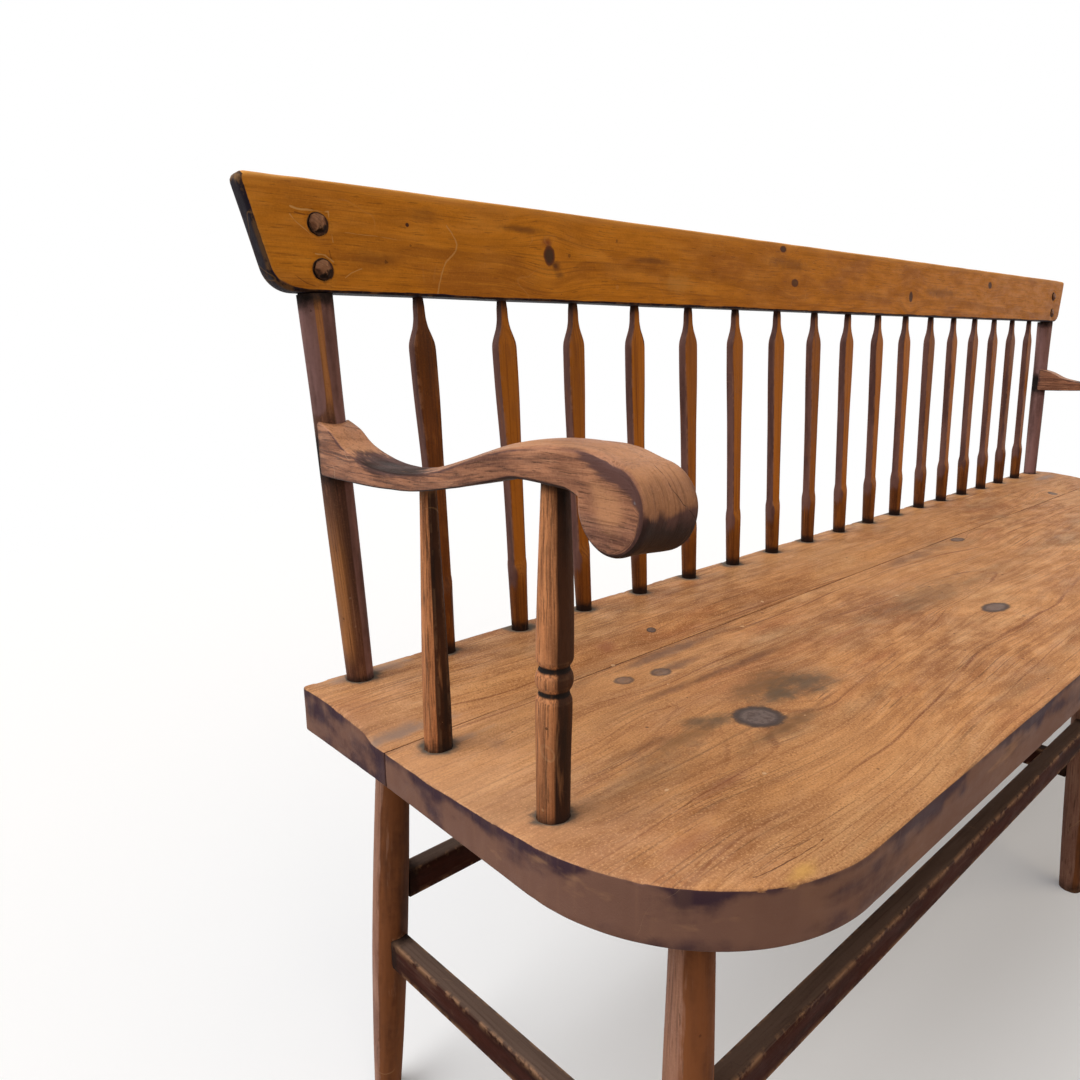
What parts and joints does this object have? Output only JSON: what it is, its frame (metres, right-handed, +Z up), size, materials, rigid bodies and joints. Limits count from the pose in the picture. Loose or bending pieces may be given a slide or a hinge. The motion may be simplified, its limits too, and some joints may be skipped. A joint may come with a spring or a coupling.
{
  "type": "deacons bench",
  "caption": "Long plank-seat bench with an arrow-spindle back under a pegged crest rail, scroll arms on turned posts, and splayed legs joined by box stretchers.",
  "frame": {"origin": "on the floor under the middle of the whole bench", "axes": "+X along the bench, towards the right arm of someone looking at its front; +Y towards its back; +Z up"},
  "size_m": [1.8704, 0.4694, 0.8703],
  "materials": {
    "seat_boards": "worn, waxed old pine with knots and handling dirt",
    "seat_dowels": "bare cleft wood",
    "crest_rail": "golden brown stained pine, satin",
    "crest_pegs": "dark whittled wood",
    "spindles": "dark reddish brown stained wood, satin",
    "back_posts": "dark reddish brown stained wood, worn",
    "arms": "mid brown stained wood with dark growth lines, worn arrises",
    "arm_uprights": "mid brown stained wood with black wear",
    "legs": "dull brown stained wood",
    "stretchers": "dull dark brown stained wood"
  },
  "bodies": {
    "root": {"seat_rear_board": "seat_boards", "seat_front_board": "seat_boards", "seat_dowel_1": "seat_dowels", "seat_dowel_2": "seat_dowels", "seat_dowel_3": "seat_dowels", "seat_dowel_4": "seat_dowels", "seat_dowel_5": "seat_dowels", "crest_rail": "crest_rail", "crest_peg_left_lower": "crest_pegs", "crest_peg_left_upper": "crest_pegs", "crest_peg_right_lower": "crest_pegs", "crest_peg_right_upper": "crest_pegs", "spindle_01": "spindles", "spindle_02": "spindles", "spindle_03": "spindles", "spindle_04": "spindles", "spindle_05": "spindles", "spindle_06": "spindles", "spindle_07": "spindles", "spindle_08": "spindles", "spindle_09": "spindles", "spindle_10": "spindles", "spindle_11": "spindles", "spindle_12": "spindles", "spindle_13": "spindles", "spindle_14": "spindles", "spindle_15": "spindles", "spindle_16": "spindles", "spindle_17": "spindles", "back_post_left": "back_posts", "back_post_right": "back_posts", "arm_left": "arms", "arm_right": "arms", "arm_post_left": "arm_uprights", "arm_post_right": "arm_uprights", "arm_spindle_left": "arm_uprights", "arm_spindle_right": "arm_uprights", "leg_rear_left": "legs", "leg_rear_middle": "legs", "leg_rear_right": "legs", "leg_front_left": "legs", "leg_front_middle": "legs", "leg_front_right": "legs", "stretcher_cross_left": "stretchers", "stretcher_cross_middle": "stretchers", "stretcher_cross_right": "stretchers", "stretcher_rear_left": "stretchers", "stretcher_rear_right": "stretchers", "stretcher_front_left": "stretchers", "stretcher_front_right": "stretchers"}
  },
  "joints": []
}
